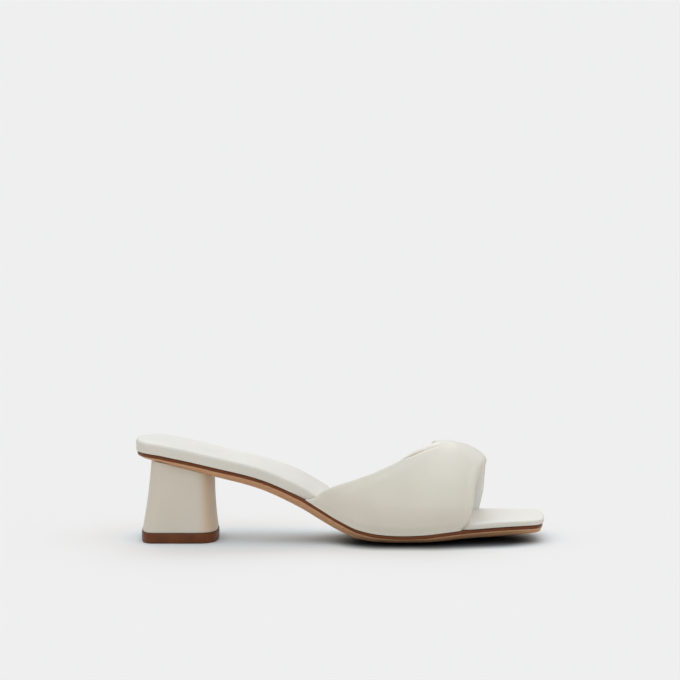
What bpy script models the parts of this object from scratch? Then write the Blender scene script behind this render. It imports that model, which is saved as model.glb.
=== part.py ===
"""Block heel mule for the right foot: a padded crossover upper, a footbed, an outsole and a wrapped block heel.

Metres, +Z up, toe towards +X, outer side of the foot towards -Y. Inside the script a length x runs from
the back of the footbed to the toe, and heights are above the floor. A station is a length as a share of LENGTH.
"""

import math

import bmesh
import bpy
import numpy as np

# Sizes along and across the last
LENGTH = 0.2400
HEEL_SEAT_WIDTH = 0.0570
WAIST_WIDTH = 0.0500
BALL_WIDTH = 0.0780
TOE_WIDTH = 0.0540

# How far each end takes to turn from its side to its tip, and how square the turn is (2 is round)
HEEL_TURN = 0.0240
HEEL_SQUARE = 2.3
TOE_TURN = 0.0095
TOE_SQUARE = 3.2

# Heights of the sole's line
BALL_THICKNESS = 0.0061
HEEL_RISE = 0.0463
TOE_SPRING = 0.0048
ARCH_LIFT = 0.0036

# Outsole edge: an upright strip over a bevel, then a belly down to the tread
SOLE_EDGE = 0.0050
EDGE_STRIP = 0.0019
BEVEL_INSET = 0.0036
BELLY_DEPTH = 0.0032
BELLY_SQUARE = 2.2
SOLE_SET_IN = 0.0008

# Footbed
FOOTBED_THICKNESS = 0.0068
FOOTBED_ROUND = 0.0020
HEEL_DISH = 0.0008
LASTING_STEP = 0.0018

# Heel block and top lift, as lengths from the footbed's back
HEEL_BACK_LOW = 0.0039
HEEL_BACK_HIGH = 0.0094
HEEL_BREAST_LOW = 0.0484
HEEL_BREAST_HIGH = 0.0463
HEEL_WIDTH_LOW = 0.0500
HEEL_WIDTH_HIGH = 0.0470
HEEL_BACK_TURN = 0.0100
HEEL_BACK_SQUARE = 3.6
BREAST_TURN = 0.0140
BREAST_SQUARE = 2.8
HEEL_HOLLOW = 0.0006
TOP_LIFT_THICKNESS = 0.0058
TOP_LIFT_MARGIN = 0.0004
TOP_LIFT_CHAMFER = 0.0007

# Upper
INSTEP_HEIGHT = 0.0534
PADDED_WALL = 0.0046
RIM_WALL = 0.0034
PILLOW_WIDTH = 0.0110
LASTED_WALL = 0.0016
CROSSOVER_LIFT = 0.0019
FRONT_SWELL = 0.0012
CREASE_DEPTH = 0.0012
CREASE_WIDTH = 0.0030
RIM_ROLL = 0.0034
ARCH_START = 0.0050
ARCH_SQUARE = 2.2
RIDGE_SHIFT = 0.0030

CLEARANCE = 0.0003

# Line of the sole. heel is a share of HEEL_RISE, spring of TOE_SPRING, arch of ARCH_LIFT,
# edge of SOLE_EDGE and belly of BELLY_DEPTH.
SOLE_COLUMNS = ("station", "heel", "spring", "arch", "edge", "belly")
SOLE_LINE = (
    (0.00, 1.000, 0.00, 0.00, 0.60, 0.00),
    (0.05, 0.988, 0.00, 0.00, 0.72, 0.00),
    (0.10, 0.944, 0.00, 0.00, 0.84, 0.00),
    (0.20, 0.823, 0.00, 0.00, 1.04, 0.00),
    (0.30, 0.690, 0.00, 0.25, 1.14, 0.20),
    (0.40, 0.468, 0.00, 0.95, 1.26, 0.30),
    (0.45, 0.316, 0.00, 1.00, 1.28, 0.35),
    (0.50, 0.168, 0.00, 0.70, 1.22, 0.45),
    (0.55, 0.055, 0.00, 0.35, 1.06, 0.75),
    (0.60, 0.011, 0.00, 0.10, 0.86, 1.00),
    (0.65, 0.000, 0.00, 0.00, 0.78, 1.00),
    (0.70, 0.000, 0.08, 0.00, 0.84, 1.00),
    (0.75, 0.000, 0.34, 0.00, 0.94, 0.95),
    (0.80, 0.000, 0.56, 0.00, 0.96, 0.88),
    (0.88, 0.000, 0.76, 0.00, 1.02, 0.70),
    (0.95, 0.000, 0.89, 0.00, 0.94, 0.45),
    (1.00, 0.000, 1.00, 0.00, 0.76, 0.20),
)

# Width of the outsole's bevel as a share of BEVEL_INSET, and the footbed's rounding as a share of FOOTBED_ROUND
BEVEL_ALONG = ((0.00, 0.60), (0.08, 1.00), (0.90, 1.00), (1.00, 0.30))
ROUND_ALONG = ((0.00, 1.00), (0.76, 1.00), (0.92, 0.60), (1.00, 0.60))

# Thickness of the footbed as a share of FOOTBED_THICKNESS
FOOTBED_PADDING = ((0.00, 1.00), (0.45, 1.00), (0.80, 0.60), (0.90, 0.49), (1.00, 0.42))

# Half widths of the footbed's plan: the station, the width that it follows and the share of that width
OUTER_SIDE = (
    (0.00, HEEL_SEAT_WIDTH, 0.490),
    (0.12, HEEL_SEAT_WIDTH, 0.500),
    (0.28, HEEL_SEAT_WIDTH, 0.470),
    (0.42, WAIST_WIDTH, 0.545),
    (0.54, BALL_WIDTH, 0.432),
    (0.64, BALL_WIDTH, 0.494),
    (0.72, BALL_WIDTH, 0.490),
    (0.84, BALL_WIDTH, 0.410),
    (0.93, TOE_WIDTH, 0.505),
    (1.00, TOE_WIDTH, 0.470),
)
INNER_SIDE = (
    (0.00, HEEL_SEAT_WIDTH, 0.490),
    (0.12, HEEL_SEAT_WIDTH, 0.500),
    (0.28, HEEL_SEAT_WIDTH, 0.445),
    (0.42, WAIST_WIDTH, 0.440),
    (0.54, BALL_WIDTH, 0.345),
    (0.66, BALL_WIDTH, 0.462),
    (0.74, BALL_WIDTH, 0.490),
    (0.84, BALL_WIDTH, 0.396),
    (0.93, TOE_WIDTH, 0.478),
    (1.00, TOE_WIDTH, 0.450),
)

# Where the upper is lasted in between footbed and outsole, by side: 1 there, 0 where the two stand clear of it
LASTED_OUTER = ((0.37, 0.0), (0.42, 1.0), (0.79, 1.0), (0.83, 0.0))
LASTED_INNER = ((0.46, 0.0), (0.52, 1.0), (0.84, 1.0), (0.88, 0.0))

# Inside height of the upper over its middle line, as a share of INSTEP_HEIGHT
CROWN_LINE = (
    (0.38, 1.660),
    (0.50, 1.400),
    (0.60, 1.220),
    (0.69, 1.080),
    (0.75, 1.000),
    (0.77, 0.988),
    (0.79, 0.951),
    (0.81, 0.904),
    (0.833, 0.863),
    (0.85, 0.828),
    (0.90, 0.740),
)

# Rims of the upper. wrap runs from 0 at the outer sole edge over the top to 1 at the inner sole edge.
RIM_COLUMNS = ("wrap", "back station", "front station")
RIMS = (
    (0.00, 0.415, 0.792),
    (0.03, 0.440, 0.812),
    (0.07, 0.467, 0.820),
    (0.14, 0.530, 0.825),
    (0.20, 0.591, 0.828),
    (0.26, 0.639, 0.832),
    (0.31, 0.666, 0.838),
    (0.37, 0.693, 0.849),
    (0.44, 0.720, 0.855),
    (0.50, 0.730, 0.857),
    (0.62, 0.724, 0.858),
    (0.75, 0.682, 0.858),
    (0.87, 0.606, 0.856),
    (1.00, 0.515, 0.843),
)

# The outer half's crossing edges, as shares of the way from the back rim to the front rim.
# It ends where the two edges meet, past the middle on the inner side.
CROSSING_COLUMNS = ("wrap", "throat edge", "toe edge")
CROSSING = (
    (0.24, -0.24, 1.20),
    (0.27, 0.03, 1.16),
    (0.31, 0.10, 1.12),
    (0.38, 0.21, 1.07),
    (0.46, 0.37, 0.99),
    (0.54, 0.52, 0.90),
    (0.62, 0.66, 0.80),
    (0.68, 0.76, 0.74),
    (0.76, 1.00, 0.50),
)

# Rows and columns of the meshes
END_ROWS = 7
SOLE_ROWS = 38
SOLE_ACROSS = 8
HEEL_ROWS = 6
HEEL_LEVELS = 5
WRAP_ROWS = 56
RIM_STEPS = 4
BAND_STEPS = 20


def smooth_curve(rows, column=1):
    """A curve through the rows' points that never overshoots them."""
    at = np.array([row[0] for row in rows])
    value = np.array([row[column] for row in rows])
    step = np.diff(at)
    slope = np.diff(value) / step
    tangent = np.zeros(len(at))
    tangent[0] = slope[0]
    tangent[-1] = slope[-1]
    for k in range(1, len(at) - 1):
        before, after = slope[k - 1], slope[k]
        if before * after > 0:
            tangent[k] = 2 * before * after / (before + after)

    def curve(where):
        where = np.clip(where, at[0], at[-1])
        k = np.clip(np.searchsorted(at, where, side="right") - 1, 0, len(step) - 1)
        t = (where - at[k]) / step[k]
        ends = value[k] * (1 + 2 * t) * (1 - t) ** 2 + value[k + 1] * t * t * (3 - 2 * t)
        bends = tangent[k] * t * (1 - t) ** 2 + tangent[k + 1] * t * t * (t - 1)
        return ends + step[k] * bends

    return curve


def ramp(value):
    """0 below 0, 1 above 1, and a soft rise between."""
    value = np.clip(value, 0.0, 1.0)
    return value * value * (3 - 2 * value)


sole_curve = {name: smooth_curve(SOLE_LINE, k) for k, name in enumerate(SOLE_COLUMNS) if k}
outer_half = smooth_curve([(station, width * share) for station, width, share in OUTER_SIDE])
inner_half = smooth_curve([(station, width * share) for station, width, share in INNER_SIDE])
bevel_share = smooth_curve(BEVEL_ALONG)
round_share = smooth_curve(ROUND_ALONG)
footbed_padding = smooth_curve(FOOTBED_PADDING)
lasted_outer = smooth_curve(LASTED_OUTER)
lasted_inner = smooth_curve(LASTED_INNER)
crown_share = smooth_curve(CROWN_LINE)
back_rim = smooth_curve(RIMS, 1)
front_rim = smooth_curve(RIMS, 2)
throat_edge = smooth_curve(CROSSING, 1)
toe_edge = smooth_curve(CROSSING, 2)


def sole_top(x, y):
    """Height of the outsole's upper face, which the arch lifts towards the inner side."""
    station = x / LENGTH
    line = HEEL_RISE * sole_curve["heel"](station) + TOE_SPRING * sole_curve["spring"](station)
    side = np.clip(y / inner_half(station), 0.0, 1.0)
    return BALL_THICKNESS + line + ARCH_LIFT * sole_curve["arch"](station) * side**2


def lasted(x, y):
    """1 where the upper is lasted in at that side of the sole, 0 where it isn't."""
    station = x / LENGTH
    return np.where(y > 0, lasted_inner(station), lasted_outer(station))


def bevel_foot(x, y):
    """Height where the outsole's bevel ends."""
    return sole_top(x, y) - SOLE_EDGE * sole_curve["edge"](x / LENGTH)


def tread(x, y):
    """Height of the outsole's underside, which the floor cuts flat under the ball."""
    station = x / LENGTH
    half = np.where(y > 0, inner_half(station), outer_half(station)) - BEVEL_INSET * bevel_share(station)
    across = np.clip(1 - np.abs(y / half) ** BELLY_SQUARE, 0.0, 1.0)
    return np.maximum(bevel_foot(x, y) - BELLY_DEPTH * sole_curve["belly"](station) * across, 0.0)


def footbed_top(x, y):
    """Height of the face that the foot stands on, thinner at the toe and dished at the heel."""
    station = x / LENGTH
    thickness = FOOTBED_THICKNESS * footbed_padding(station)
    across = np.clip(1 - (2 * y / HEEL_SEAT_WIDTH) ** 2, 0.0, 1.0)
    dish = HEEL_DISH * across * ramp(station / 0.08) * ramp((0.35 - station) / 0.15)
    return sole_top(x, y) + CLEARANCE + thickness - dish


def plan_rows(back, front, back_turn, back_square, front_turn, front_square, between):
    """Lengths from back to front and the share of the full width at each, both ends turned."""
    angle = np.linspace(0, math.pi / 2, END_ROWS + 1)
    back_x = back + back_turn * (1 - np.cos(angle) ** (2 / back_square))
    back_share = np.sin(angle) ** (2 / back_square)
    front_x = front - front_turn * (1 - np.cos(angle) ** (2 / front_square))
    front_share = np.sin(angle) ** (2 / front_square)
    middle_x = np.linspace(back_x[-1], front_x[-1], between + 1)[1:-1]
    x = np.concatenate([back_x, middle_x, front_x[::-1]])
    share = np.concatenate([back_share, np.ones(len(middle_x)), front_share[::-1]])
    return x, share


def plan_loop(x, outer, inner):
    """The closed outline of a plan and its inward directions, back tip first, then the outer side."""
    side = np.column_stack([x, -outer])
    back = np.column_stack([x, inner])[-2:0:-1]
    loop = np.concatenate([side, back])
    along = np.roll(loop, -1, axis=0) - np.roll(loop, 1, axis=0)
    along /= np.linalg.norm(along, axis=1)[:, None]
    return loop, np.column_stack([-along[:, 1], along[:, 0]])


def ring_of(loop, inward, inset, height):
    """The loop moved in by inset, a length or one for each point, at height(x, y)."""
    flat = loop + inward * np.reshape(inset, (-1, 1))
    return np.column_stack([flat, height(flat[:, 0], flat[:, 1])])


def sole_loop():
    x, share = plan_rows(0.0, LENGTH, HEEL_TURN, HEEL_SQUARE, TOE_TURN, TOE_SQUARE, SOLE_ROWS)
    return plan_loop(x, outer_half(x / LENGTH) * share, inner_half(x / LENGTH) * share)


def skin(name, rings, across=1, top=None, bottom=None):
    """A closed mesh object: the rings in order, and a face over the first ring and the last.

    Each ring starts at its back tip. A face is laid in rows that join the two sides, with points
    between them at the height that top or bottom gives when across is more than 1.
    """
    count = len(rings[0])
    half = count // 2
    points = [tuple(map(float, point)) for ring in rings for point in ring]
    faces = []
    for level in range(len(rings) - 1):
        for k in range(count):
            here = level * count + k
            beside = level * count + (k + 1) % count
            faces.append((here, beside, beside + count, here + count))
    for first, height in ((0, top), ((len(rings) - 1) * count, bottom)):
        rows = [[first]]
        for k in range(1, half):
            row = [first + k]
            start = np.array(points[first + k])
            end = np.array(points[first + count - k])
            for step in range(1, across):
                x, y, _ = start + (end - start) * step / across
                row.append(len(points))
                points.append((float(x), float(y), float(height(x, y))))
            rows.append(row + [first + count - k])
        rows.append([first + half])
        for row, after in zip(rows, rows[1:]):
            for step in range(across):
                if len(row) == 1:
                    faces.append((row[0], after[step], after[step + 1]))
                elif len(after) == 1:
                    faces.append((row[step], after[0], row[step + 1]))
                else:
                    faces.append((row[step], after[step], after[step + 1], row[step + 1]))
    mesh = bpy.data.meshes.new(name)
    mesh.from_pydata(points, [], faces)
    shape = bmesh.new()
    shape.from_mesh(mesh)
    bmesh.ops.recalc_face_normals(shape, faces=shape.faces)
    shape.to_mesh(mesh)
    shape.free()
    mesh.shade_smooth()
    mesh.set_sharp_from_angle(angle=math.radians(35))
    piece = bpy.data.objects.new(name, mesh)
    bpy.context.scene.collection.objects.link(piece)
    return piece


def finish(piece, colour, roughness):
    """Gives the piece its own material."""
    material = bpy.data.materials.new(piece.name)
    material.use_nodes = True
    shader = material.node_tree.nodes["Principled BSDF"]
    shader.inputs["Base Color"].default_value = (*colour, 1.0)
    shader.inputs["Roughness"].default_value = roughness
    shader.inputs["Metallic"].default_value = 0.0
    piece.data.materials.append(material)


def make_outsole():
    loop, inward = sole_loop()
    set_in = SOLE_SET_IN * (1 - lasted(loop[:, 0], loop[:, 1]))
    bevel = BEVEL_INSET * bevel_share(loop[:, 0] / LENGTH)

    def below_top(drop):
        return lambda x, y: sole_top(x, y) - drop

    def mid_bevel(x, y):
        return 0.35 * (sole_top(x, y) - EDGE_STRIP) + 0.65 * bevel_foot(x, y)

    rings = [
        ring_of(loop, inward, set_in + CLEARANCE, sole_top),
        ring_of(loop, inward, set_in, below_top(CLEARANCE)),
        ring_of(loop, inward, set_in, below_top(EDGE_STRIP)),
        ring_of(loop, inward, set_in + bevel / 2, mid_bevel),
        ring_of(loop, inward, set_in + bevel, bevel_foot),
    ]
    piece = skin("outsole", rings, SOLE_ACROSS, sole_top, tread)
    finish(piece, (0.120, 0.045, 0.018), 0.55)
    return piece


def make_footbed():
    loop, inward = sole_loop()
    step = LASTING_STEP * lasted(loop[:, 0], loop[:, 1])
    radius = FOOTBED_ROUND * round_share(loop[:, 0] / LENGTH)

    def seat(x, y):
        return sole_top(x, y) + CLEARANCE

    def below_top(drop):
        return lambda x, y: footbed_top(x, y) - drop

    rings = []
    for angle in np.linspace(0, math.pi / 2, 4):
        inset = radius * (1 - math.sin(angle))
        drop = radius * (1 - math.cos(angle))
        rings.append(ring_of(loop, inward, step + inset, below_top(drop)))
    rings.append(ring_of(loop, inward, step, lambda x, y: seat(x, y) + CLEARANCE))
    rings.append(ring_of(loop, inward, step + CLEARANCE, seat))
    piece = skin("footbed", rings, SOLE_ACROSS, footbed_top, seat)
    finish(piece, (0.78, 0.76, 0.70), 0.50)
    return piece


def heel_loop(rise, margin=0.0):
    """Outline of the heel, rise being 0 at its foot and 1 at the seat."""
    hollow = HEEL_HOLLOW * math.sin(math.pi * rise)
    back = HEEL_BACK_LOW + (HEEL_BACK_HIGH - HEEL_BACK_LOW) * rise + hollow - margin
    breast = HEEL_BREAST_LOW + (HEEL_BREAST_HIGH - HEEL_BREAST_LOW) * rise - hollow + margin
    width = HEEL_WIDTH_LOW + (HEEL_WIDTH_HIGH - HEEL_WIDTH_LOW) * rise - 2 * hollow + 2 * margin
    turns = (HEEL_BACK_TURN, HEEL_BACK_SQUARE, BREAST_TURN, BREAST_SQUARE)
    x, share = plan_rows(back, breast, *turns, HEEL_ROWS)
    return plan_loop(x, width / 2 * share, width / 2 * share)


def make_heel_block():
    foot = TOP_LIFT_THICKNESS + CLEARANCE

    def seat(x, y):
        return tread(x, y) - CLEARANCE

    def floor_of_block(x, y):
        return foot + 0.0 * x

    rings = []
    for level in range(HEEL_LEVELS, -1, -1):
        rise = level / HEEL_LEVELS
        loop, inward = heel_loop(rise)

        def height(x, y, rise=rise):
            return foot + (seat(x, y) - foot) * rise

        rings.append(ring_of(loop, inward, 0.0, height))
    piece = skin("heel_block", rings, 2, seat, floor_of_block)
    finish(piece, (0.72, 0.70, 0.62), 0.50)
    return piece


def make_top_lift():
    loop, inward = heel_loop(0.0, TOP_LIFT_MARGIN)

    def level(height):
        return lambda x, y: height + 0.0 * x

    rings = [
        ring_of(loop, inward, 0.0, level(TOP_LIFT_THICKNESS)),
        ring_of(loop, inward, 0.0, level(TOP_LIFT_CHAMFER)),
        ring_of(loop, inward, TOP_LIFT_CHAMFER, level(0.0)),
    ]
    piece = skin("top_lift", rings, 2, level(TOP_LIFT_THICKNESS), level(0.0))
    finish(piece, (0.100, 0.032, 0.012), 0.60)
    return piece


def last_point(x, wrap):
    """A point of the foot's space: up the footbed's side, then an arch over the instep and down again."""
    station = x / LENGTH
    outer = outer_half(station) - LASTING_STEP * lasted_outer(station) + CLEARANCE
    inner = inner_half(station) - LASTING_STEP * lasted_inner(station) + CLEARANCE
    upright = 0.03
    angle = math.pi * np.clip((wrap - upright) / (1 - 2 * upright), 0.0, 1.0)
    across = np.cos(angle)
    reach = np.abs(across) ** (2 / ARCH_SQUARE)
    up = np.sin(angle) ** (2 / ARCH_SQUARE)
    y = np.where(across > 0, -outer * reach, inner * reach) + RIDGE_SHIFT * up
    foot = sole_top(x, y + np.sign(y) * LASTED_WALL) + CLEARANCE
    climb = np.clip(np.minimum(wrap, 1 - wrap) / upright, 0.0, 1.0)
    crown = INSTEP_HEIGHT * crown_share(station)
    start = foot + (ARCH_START - CLEARANCE) * climb
    return np.stack([x, y, start + (crown - start) * up], axis=-1)


def last_normal(x, wrap):
    """Direction out of the foot's space."""
    reach = LENGTH / 480
    turn = 0.002
    along = last_point(x + reach, wrap) - last_point(x - reach, wrap)
    around = last_point(x, np.minimum(wrap + turn, 1.0)) - last_point(x, np.maximum(wrap - turn, 0.0))
    normal = np.cross(around, along)
    normal /= np.linalg.norm(normal, axis=-1)[..., None]
    out = last_point(x, wrap) - last_point(x, np.full_like(wrap, 0.5)) * [1, 0, 0] - [0, 0, 0.4 * INSTEP_HEIGHT]
    return normal * np.sign(np.sum(normal * out, axis=-1))[..., None]


def crossing(wrap, share, width):
    """How far the crossing lifts the outer face: the outer half lies on top, in a groove along its edges.

    The inner half swells in front of the outer half's toe edge.
    """
    from_throat = (share - throat_edge(wrap)) * width
    from_toe = (toe_edge(wrap) - share) * width
    inside = np.minimum(from_throat, from_toe)
    on_top = ramp(inside / CREASE_WIDTH + 0.5)
    beside = np.exp(-((inside / CREASE_WIDTH + 0.4) ** 2) * 2.0)
    near_top = ramp((wrap - 0.10) / 0.20)
    in_front = FRONT_SWELL * ramp((share - 0.66) / 0.20) * ramp((wrap - 0.20) / 0.12) * ramp((0.84 - wrap) / 0.24)
    fade = ramp((wrap - 0.22) / 0.08) * ramp((0.76 - wrap) / 0.12)
    step = CROSSOVER_LIFT * near_top - in_front
    return in_front + step * on_top - CREASE_DEPTH * beside * fade


def band_lengths(wrap, width):
    """Distances from the back rim across the band, close together where each rim rolls over.

    Half of the columns between the rims lie behind the outer half's throat edge and follow it.
    """
    angle = np.linspace(0, math.pi / 2, RIM_STEPS + 1)
    roll = RIM_ROLL * (1 - np.cos(angle))
    crossed = ramp((wrap - 0.05) / 0.2) * ramp((0.95 - wrap) / 0.2)
    middle = 0.5 + (float(np.clip(throat_edge(wrap), 0.2, 0.8)) - 0.5) * crossed
    behind = np.linspace(RIM_ROLL, middle * width, BAND_STEPS // 2 + 1)[1:]
    ahead = np.linspace(middle * width, width - RIM_ROLL, BAND_STEPS // 2 + 1)[1:-1]
    return np.concatenate([roll, behind, ahead, (width - roll)[::-1]])


def make_upper():
    rings = []
    edge_rows = np.array([0.0, 0.015])
    wraps = np.concatenate([edge_rows, np.linspace(0.03, 0.97, WRAP_ROWS - 3), 1 - edge_rows[::-1]])
    for wrap in wraps:
        back = LENGTH * back_rim(wrap)
        width = LENGTH * front_rim(wrap) - back
        length = band_lengths(wrap, width)
        x = back + length
        at = np.full_like(x, wrap)
        rim = np.minimum(length, width - length)
        rounding = np.sqrt(np.clip(1 - (1 - np.minimum(rim / RIM_ROLL, 1.0)) ** 2, 0.0, 1.0))
        padded = RIM_WALL + (PADDED_WALL - RIM_WALL) * ramp(rim / PILLOW_WIDTH)
        wall = LASTED_WALL + (padded - LASTED_WALL) * ramp(min(wrap, 1 - wrap) / 0.10)
        normal = last_normal(x, at)
        middle = last_point(x, at) + normal * (wall / 2)[:, None]
        lift = crossing(at, length / width, width) * rounding
        outer = middle + normal * (wall / 2 * rounding + lift)[:, None]
        inner = middle - normal * (wall / 2 * rounding)[:, None]
        rings.append(np.concatenate([outer, inner[-2:0:-1]]))
    piece = skin("upper", rings)
    finish(piece, (0.80, 0.78, 0.72), 0.48)
    return piece


def place(pieces):
    """Parents the pieces to one empty and stands the shoe over the origin, by the middle of its own box."""
    shoe = bpy.data.objects.new("shoe", None)
    bpy.context.scene.collection.objects.link(shoe)
    corners = []
    for piece in pieces:
        points = np.array([vertex.co for vertex in piece.data.vertices])
        low = points.min(axis=0)
        anchor = (low + points.max(axis=0)) / 2
        anchor[2] = low[2]
        for vertex in piece.data.vertices:
            vertex.co = [float(value) for value in np.array(vertex.co) - anchor]
        piece.location = [float(value) for value in anchor]
        piece.parent = shoe
        corners += [low, points.max(axis=0)]
    low = np.min(corners, axis=0)
    high = np.max(corners, axis=0)
    shoe.location = (-float(low[0] + high[0]) / 2, -float(low[1] + high[1]) / 2, -float(low[2]))


def main():
    for leftover in list(bpy.data.objects):
        bpy.data.objects.remove(leftover)
    place([make_outsole(), make_footbed(), make_heel_block(), make_top_lift(), make_upper()])


main()
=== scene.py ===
"""Looks of the block heel mule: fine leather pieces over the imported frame, floor, studio light and camera."""

import math

import bmesh
import bpy
import numpy as np
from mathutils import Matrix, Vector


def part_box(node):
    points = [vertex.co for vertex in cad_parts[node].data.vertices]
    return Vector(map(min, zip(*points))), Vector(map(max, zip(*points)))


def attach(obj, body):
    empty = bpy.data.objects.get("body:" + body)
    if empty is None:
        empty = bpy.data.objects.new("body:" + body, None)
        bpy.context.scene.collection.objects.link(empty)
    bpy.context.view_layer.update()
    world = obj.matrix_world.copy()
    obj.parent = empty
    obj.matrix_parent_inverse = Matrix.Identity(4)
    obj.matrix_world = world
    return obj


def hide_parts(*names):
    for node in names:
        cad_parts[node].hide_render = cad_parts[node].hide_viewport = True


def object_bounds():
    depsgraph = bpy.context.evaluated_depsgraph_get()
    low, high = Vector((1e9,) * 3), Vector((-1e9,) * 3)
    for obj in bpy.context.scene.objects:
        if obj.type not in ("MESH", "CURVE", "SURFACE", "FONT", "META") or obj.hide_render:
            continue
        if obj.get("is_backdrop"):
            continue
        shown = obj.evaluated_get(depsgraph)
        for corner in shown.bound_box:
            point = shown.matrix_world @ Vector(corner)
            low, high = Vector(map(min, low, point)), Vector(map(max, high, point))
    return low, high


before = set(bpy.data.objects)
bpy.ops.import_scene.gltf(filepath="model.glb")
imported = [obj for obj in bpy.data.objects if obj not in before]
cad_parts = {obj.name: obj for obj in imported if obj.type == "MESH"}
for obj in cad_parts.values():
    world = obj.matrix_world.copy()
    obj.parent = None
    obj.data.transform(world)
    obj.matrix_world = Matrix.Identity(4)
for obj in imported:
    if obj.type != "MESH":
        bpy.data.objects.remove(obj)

cad_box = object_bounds()

# The shoe's own sizes in metres, as in its CAD source
LENGTH = 0.2400
HEEL_SEAT_WIDTH = 0.0570
WAIST_WIDTH = 0.0500
BALL_WIDTH = 0.0780
TOE_WIDTH = 0.0540
HEEL_TURN = 0.0240
HEEL_SQUARE = 2.3
TOE_TURN = 0.0095
TOE_SQUARE = 3.2
BALL_THICKNESS = 0.0061
HEEL_RISE = 0.0463
TOE_SPRING = 0.0048
ARCH_LIFT = 0.0036
SOLE_EDGE = 0.0050
EDGE_STRIP = 0.0019
BEVEL_INSET = 0.0036
BELLY_DEPTH = 0.0032
BELLY_SQUARE = 2.2
SOLE_SET_IN = 0.0008
FOOTBED_THICKNESS = 0.0068
FOOTBED_ROUND = 0.0020
HEEL_DISH = 0.0008
LASTING_STEP = 0.0018
HEEL_BACK_LOW = 0.0039
HEEL_BACK_HIGH = 0.0094
HEEL_BREAST_LOW = 0.0484
HEEL_BREAST_HIGH = 0.0463
HEEL_WIDTH_LOW = 0.0500
HEEL_WIDTH_HIGH = 0.0470
HEEL_BACK_TURN = 0.0100
HEEL_BACK_SQUARE = 3.6
BREAST_TURN = 0.0140
BREAST_SQUARE = 2.8
HEEL_HOLLOW = 0.0006
TOP_LIFT_THICKNESS = 0.0058
TOP_LIFT_MARGIN = 0.0004
TOP_LIFT_CHAMFER = 0.0007
INSTEP_HEIGHT = 0.0534
PADDED_WALL = 0.0046
RIM_WALL = 0.0034
PILLOW_WIDTH = 0.0110
LASTED_WALL = 0.0016
CROSSOVER_LIFT = 0.0019
FRONT_SWELL = 0.0012
RIM_ROLL = 0.0034
ARCH_START = 0.0050
ARCH_SQUARE = 2.2
RIDGE_SHIFT = 0.0030
CLEARANCE = 0.0003

# From here on the values are for the looks only.
# The crossing's rolled edge and groove, the lining's distance from the rims, and the band's girth
CROSSING_ROLL = 0.0034
CROSSING_GROOVE = 0.0014
GROOVE_WIDTH = 0.0012
LINING_INSET = 0.0002
BAND_GIRTH = 0.150

# The wrap in which the band stands upright at each sole edge, and that in which its padding sets in
UPRIGHT_WRAP = 0.03
LASTED_WRAP = 0.10

# The sole edge's fine groove with its lips, broken edges, and the heel wrap's tuck over the top lift
STRIP_GROOVE = 0.00022
STRIP_LIP = 0.0003
BEVEL_LIP = 0.0002
EDGE_BREAK = 0.0001
LIFT_BREAK = 0.0003
HEEL_TUCK = 0.00045
HEEL_TUCK_RISE = 0.018

# The padding's cloth simulation: how much slimmer it starts, how far it may move a point, and the wrap and
# the distance from the rims over which its held edges let go
SIM_SLIM = 0.0003
SIM_CAP = 0.0009
SIM_HELD_WRAP = 0.085
SIM_HELD_RIM = 0.004

# It runs on an enlarged coarse copy, which takes every so many rows and columns
SIM_SCALE = 8.0
SIM_MASS = 0.003
SIM_PRESSURE = 4.0
SIM_QUALITY = 6
SIM_FRAMES = 20
SIM_ROW_STEP = 4
SIM_COLUMN_STEP = 4
SIM_EVENED = 2

# Dyes. A pair runs from the dark places to the light ones.
UPPER_COLOUR = (0.755, 0.678, 0.548)
FOOTBED_COLOUR = (0.736, 0.670, 0.562)
HEEL_COLOUR = (0.690, 0.605, 0.480)
LINING_COLOUR = (0.925, 0.905, 0.868)
EDGE_DARK = ((0.142, 0.036, 0.007), (0.198, 0.056, 0.012))
EDGE_LIGHT = ((0.555, 0.285, 0.142), (0.655, 0.362, 0.190))
TREAD_COLOURS = ((0.44, 0.275, 0.175), (0.51, 0.330, 0.215))
TREAD_SCUFF = (0.64, 0.42, 0.25)
RUBBER_COLOURS = ((0.126, 0.033, 0.007), (0.162, 0.045, 0.010))
RUBBER_SPECK = (0.22, 0.085, 0.032)

# The lengths, from the origin, between which a painted warm reflection of the tan sole's bounce light turns the
# heel's colour warmer towards its breast
BREAST_REFLECTION_SPAN = (-0.0835, -0.0780)

# The floor. A contact shadow is painted into its colour along two lines where the forefoot rests, and ends
# between two distances.
FLOOR_REACH = 60.0
PAPER_COLOURS = ((0.892, 0.848, 0.788), (0.897, 0.853, 0.793))
CONTACT_LINES = (((0.027, -0.022), (0.052, -0.023)), ((0.052, -0.023), (0.086, -0.014)))
CONTACT_NEAR = 0.015
CONTACT_FAR = 0.036
CONTACT_SHADE = 0.84
PAINTED_SHADOW_COLOUR = (0.010, 0.010, 0.010)

# The tan sole's bounce light warms the shade under it, and cooler paper painted along this line takes that warm
# light out again
COOLED_LINE = ((-0.085, 0.0), (0.084, 0.0))
COOLED_NEAR = 0.020
COOLED_FAR = 0.060
COOLED_SHARE = 0.88
COOLED_COLOUR = (0.861, 0.930, 0.923)

# The sky's brightness at the horizon and overhead, and each lamp's strength, width, tip and colour
SKY_LOW = 0.145
SKY_HIGH = 1.27
SKY_COLOUR = (0.95, 1.0, 1.08)
BACK_LAMP = (0.61, 40, -52, SKY_COLOUR)
FRONT_FILL = (0.63, 60, 35, (0.62, 0.80, 0.97))

# The camera stands at the photo's angle, 5.716 degrees above the level
CAMERA_PLACE = (0.0, -2.477, 0.365)
CAMERA_DOWN = 5.716
CAMERA_LENS = 224.3

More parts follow.
